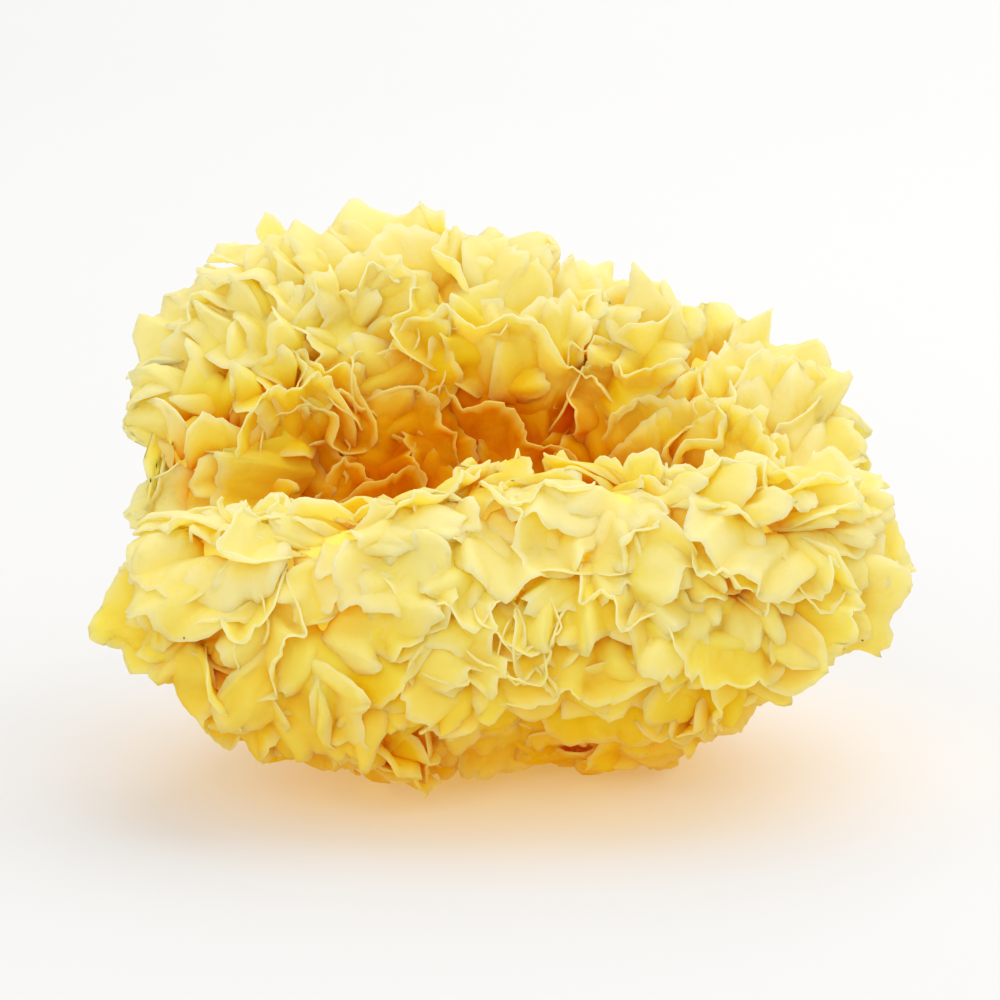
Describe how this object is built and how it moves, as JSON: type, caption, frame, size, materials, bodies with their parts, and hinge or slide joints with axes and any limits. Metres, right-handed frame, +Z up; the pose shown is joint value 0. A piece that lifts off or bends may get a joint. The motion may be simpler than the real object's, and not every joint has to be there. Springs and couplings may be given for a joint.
{
  "type": "snow fungus",
  "caption": "Dried snow fungus, a folded bowl of thin ruffled fronds that rests on its rounded underside.",
  "frame": {"origin": "under the middle of the fungus, on the surface that it rests on", "axes": "+Z up, +X along the fold from the viewer's left to right, +Y from the low front wall to the high rear wall"},
  "size_m": [0.1526, 0.1158, 0.0931],
  "materials": {
    "dried_fungus": "dry, thin and translucent, pale yellow at the edges and orange deep inside"
  },
  "bodies": {
    "root": {"fruit_body": "dried_fungus"}
  },
  "joints": []
}
